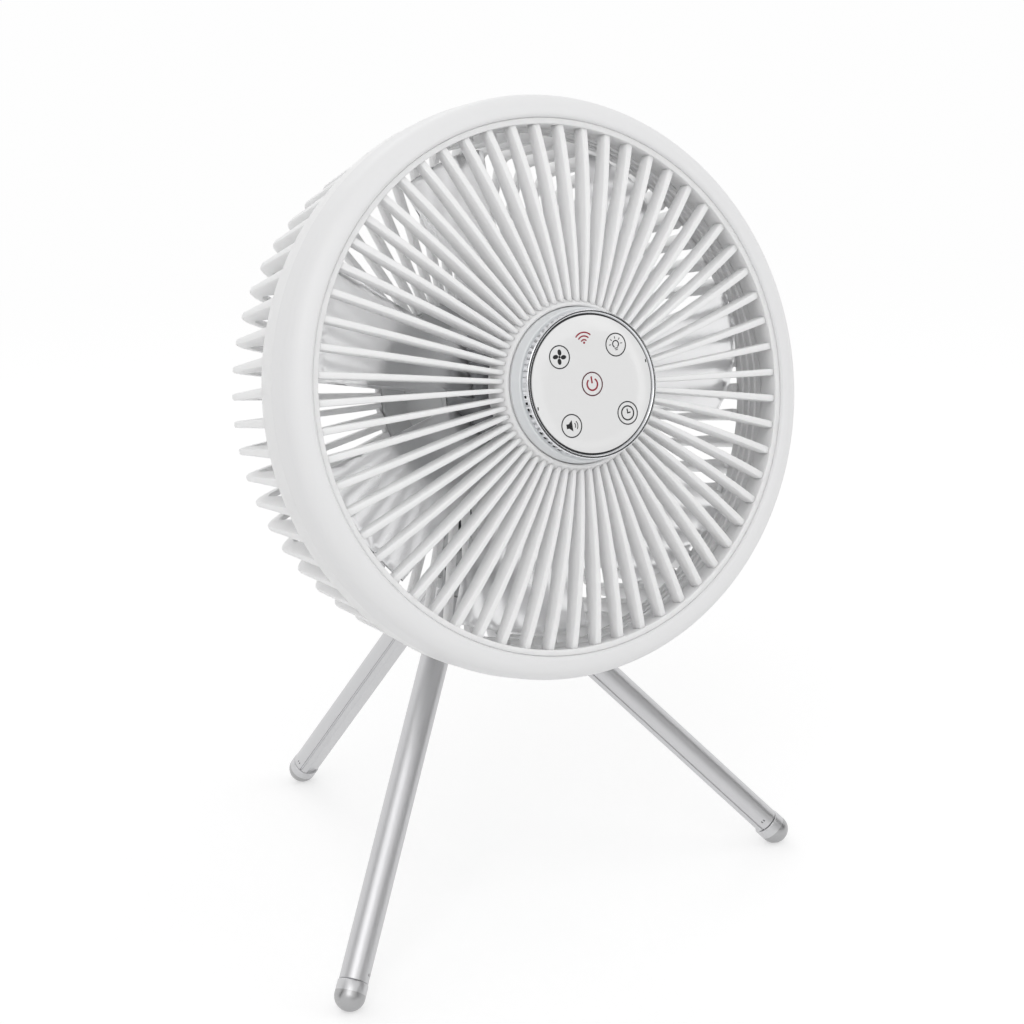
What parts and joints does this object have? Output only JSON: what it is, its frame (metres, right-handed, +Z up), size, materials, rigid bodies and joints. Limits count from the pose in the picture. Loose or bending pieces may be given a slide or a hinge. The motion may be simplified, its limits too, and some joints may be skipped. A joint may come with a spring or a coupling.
{
  "type": "portable camping fan",
  "caption": "Round caged fan head with radial fins, a touch panel and a light ring in the middle, tilting and turning on a folding three-legged rod stand.",
  "frame": {"origin": "on the floor under the axis of the stand's hub", "axes": "+Z up, the fan blows towards -Y, +X to the right seen from the front"},
  "size_m": [0.2248, 0.2319, 0.319],
  "materials": {
    "white_plastic": "satin white",
    "frosted_plastic": "frosted, lets light through",
    "chrome_trim": "bright",
    "panel_gloss": "smooth, light grey",
    "clear_grey_plastic": "smoky, half clear",
    "leg_aluminium": "satin, drawn lengthwise",
    "grey_plastic": "mid grey, satin",
    "dark_plastic": "dark grey, satin",
    "steel": "plain",
    "circuit_board": "solder mask",
    "led_yellow": "light chips",
    "copper": "enamelled wire",
    "magnet_grey": "matt",
    "cell_wrap": "shrink wrap"
  },
  "bodies": {
    "stand": {"leg_hub": "grey_plastic", "hub_screw": "steel", "leg_pins": "steel"},
    "yoke": {"hub_top": "grey_plastic", "tilt_bolt": "steel", "tilt_nut": "steel", "tilt_washers": "dark_plastic"},
    "head": {"rim_ring": "white_plastic", "front_grille": "white_plastic", "rear_grille": "white_plastic", "rim_screws": "steel", "control_housing": "white_plastic", "control_screws": "steel", "led_board": "circuit_board", "led_chips": "led_yellow", "diffuser_ring": "frosted_plastic", "chrome_bezel": "chrome_trim", "touch_panel": "panel_gloss", "touch_board": "circuit_board", "motor_base": "grey_plastic", "base_screws": "steel", "motor_board": "circuit_board", "stator_core": "steel", "stator_coils": "copper", "motor_bearings": "steel", "battery_housing": "grey_plastic", "housing_screws": "steel", "battery_cells": "cell_wrap", "cell_spacers": "dark_plastic", "charge_board": "circuit_board", "charge_socket": "steel", "rear_cover": "grey_plastic", "cover_screws": "steel", "neck": "dark_plastic", "neck_screws": "steel"},
    "impeller_group": {"impeller": "clear_grey_plastic", "rotor_can": "steel", "rotor_magnet": "magnet_grey", "motor_shaft": "steel", "impeller_nut": "grey_plastic"},
    "leg_front_left": {"leg_tube_front_left": "leg_aluminium", "knuckle_front_left": "grey_plastic", "foot_cap_front_left": "grey_plastic", "foot_pin_front_left": "steel"},
    "leg_front_right": {"leg_tube_front_right": "leg_aluminium", "knuckle_front_right": "grey_plastic", "foot_cap_front_right": "grey_plastic", "foot_pin_front_right": "steel"},
    "leg_rear": {"leg_tube_rear": "leg_aluminium", "knuckle_rear": "grey_plastic", "foot_cap_rear": "grey_plastic", "foot_pin_rear": "steel"}
  },
  "joints": [
    {"name": "swivel", "type": "hinge", "parent": "stand", "child": "yoke", "pos_m": [0, 0, 0.13507], "axis": [0, 0, 1], "range_deg": [0, 16]},
    {"name": "head_tilt", "type": "hinge", "parent": "yoke", "child": "head", "pos_m": [0, 0, 0.14727], "axis": [-1, 0, 0], "range_deg": [-3, 75]},
    {"name": "fan_spin", "type": "hinge", "parent": "head", "child": "impeller_group", "pos_m": [0, -0.05467, 0.21368], "axis": [0, -0.9659, 0.2588], "continuous": true},
    {"name": "fold_front_left", "type": "hinge", "parent": "stand", "child": "leg_front_left", "pos_m": [-0.00709, -0.00554, 0.12927], "axis": [0.6157, -0.788, 0], "range_deg": [0, 42.7]},
    {"name": "fold_front_right", "type": "hinge", "parent": "stand", "child": "leg_front_right", "pos_m": [0.00834, -0.00337, 0.12927], "axis": [0.3746, 0.9272, 0], "range_deg": [0, 42.7]},
    {"name": "fold_rear", "type": "hinge", "parent": "stand", "child": "leg_rear", "pos_m": [-0.00125, 0.00891, 0.12927], "axis": [-0.9903, -0.1392, 0], "range_deg": [0, 42.7]}
  ]
}
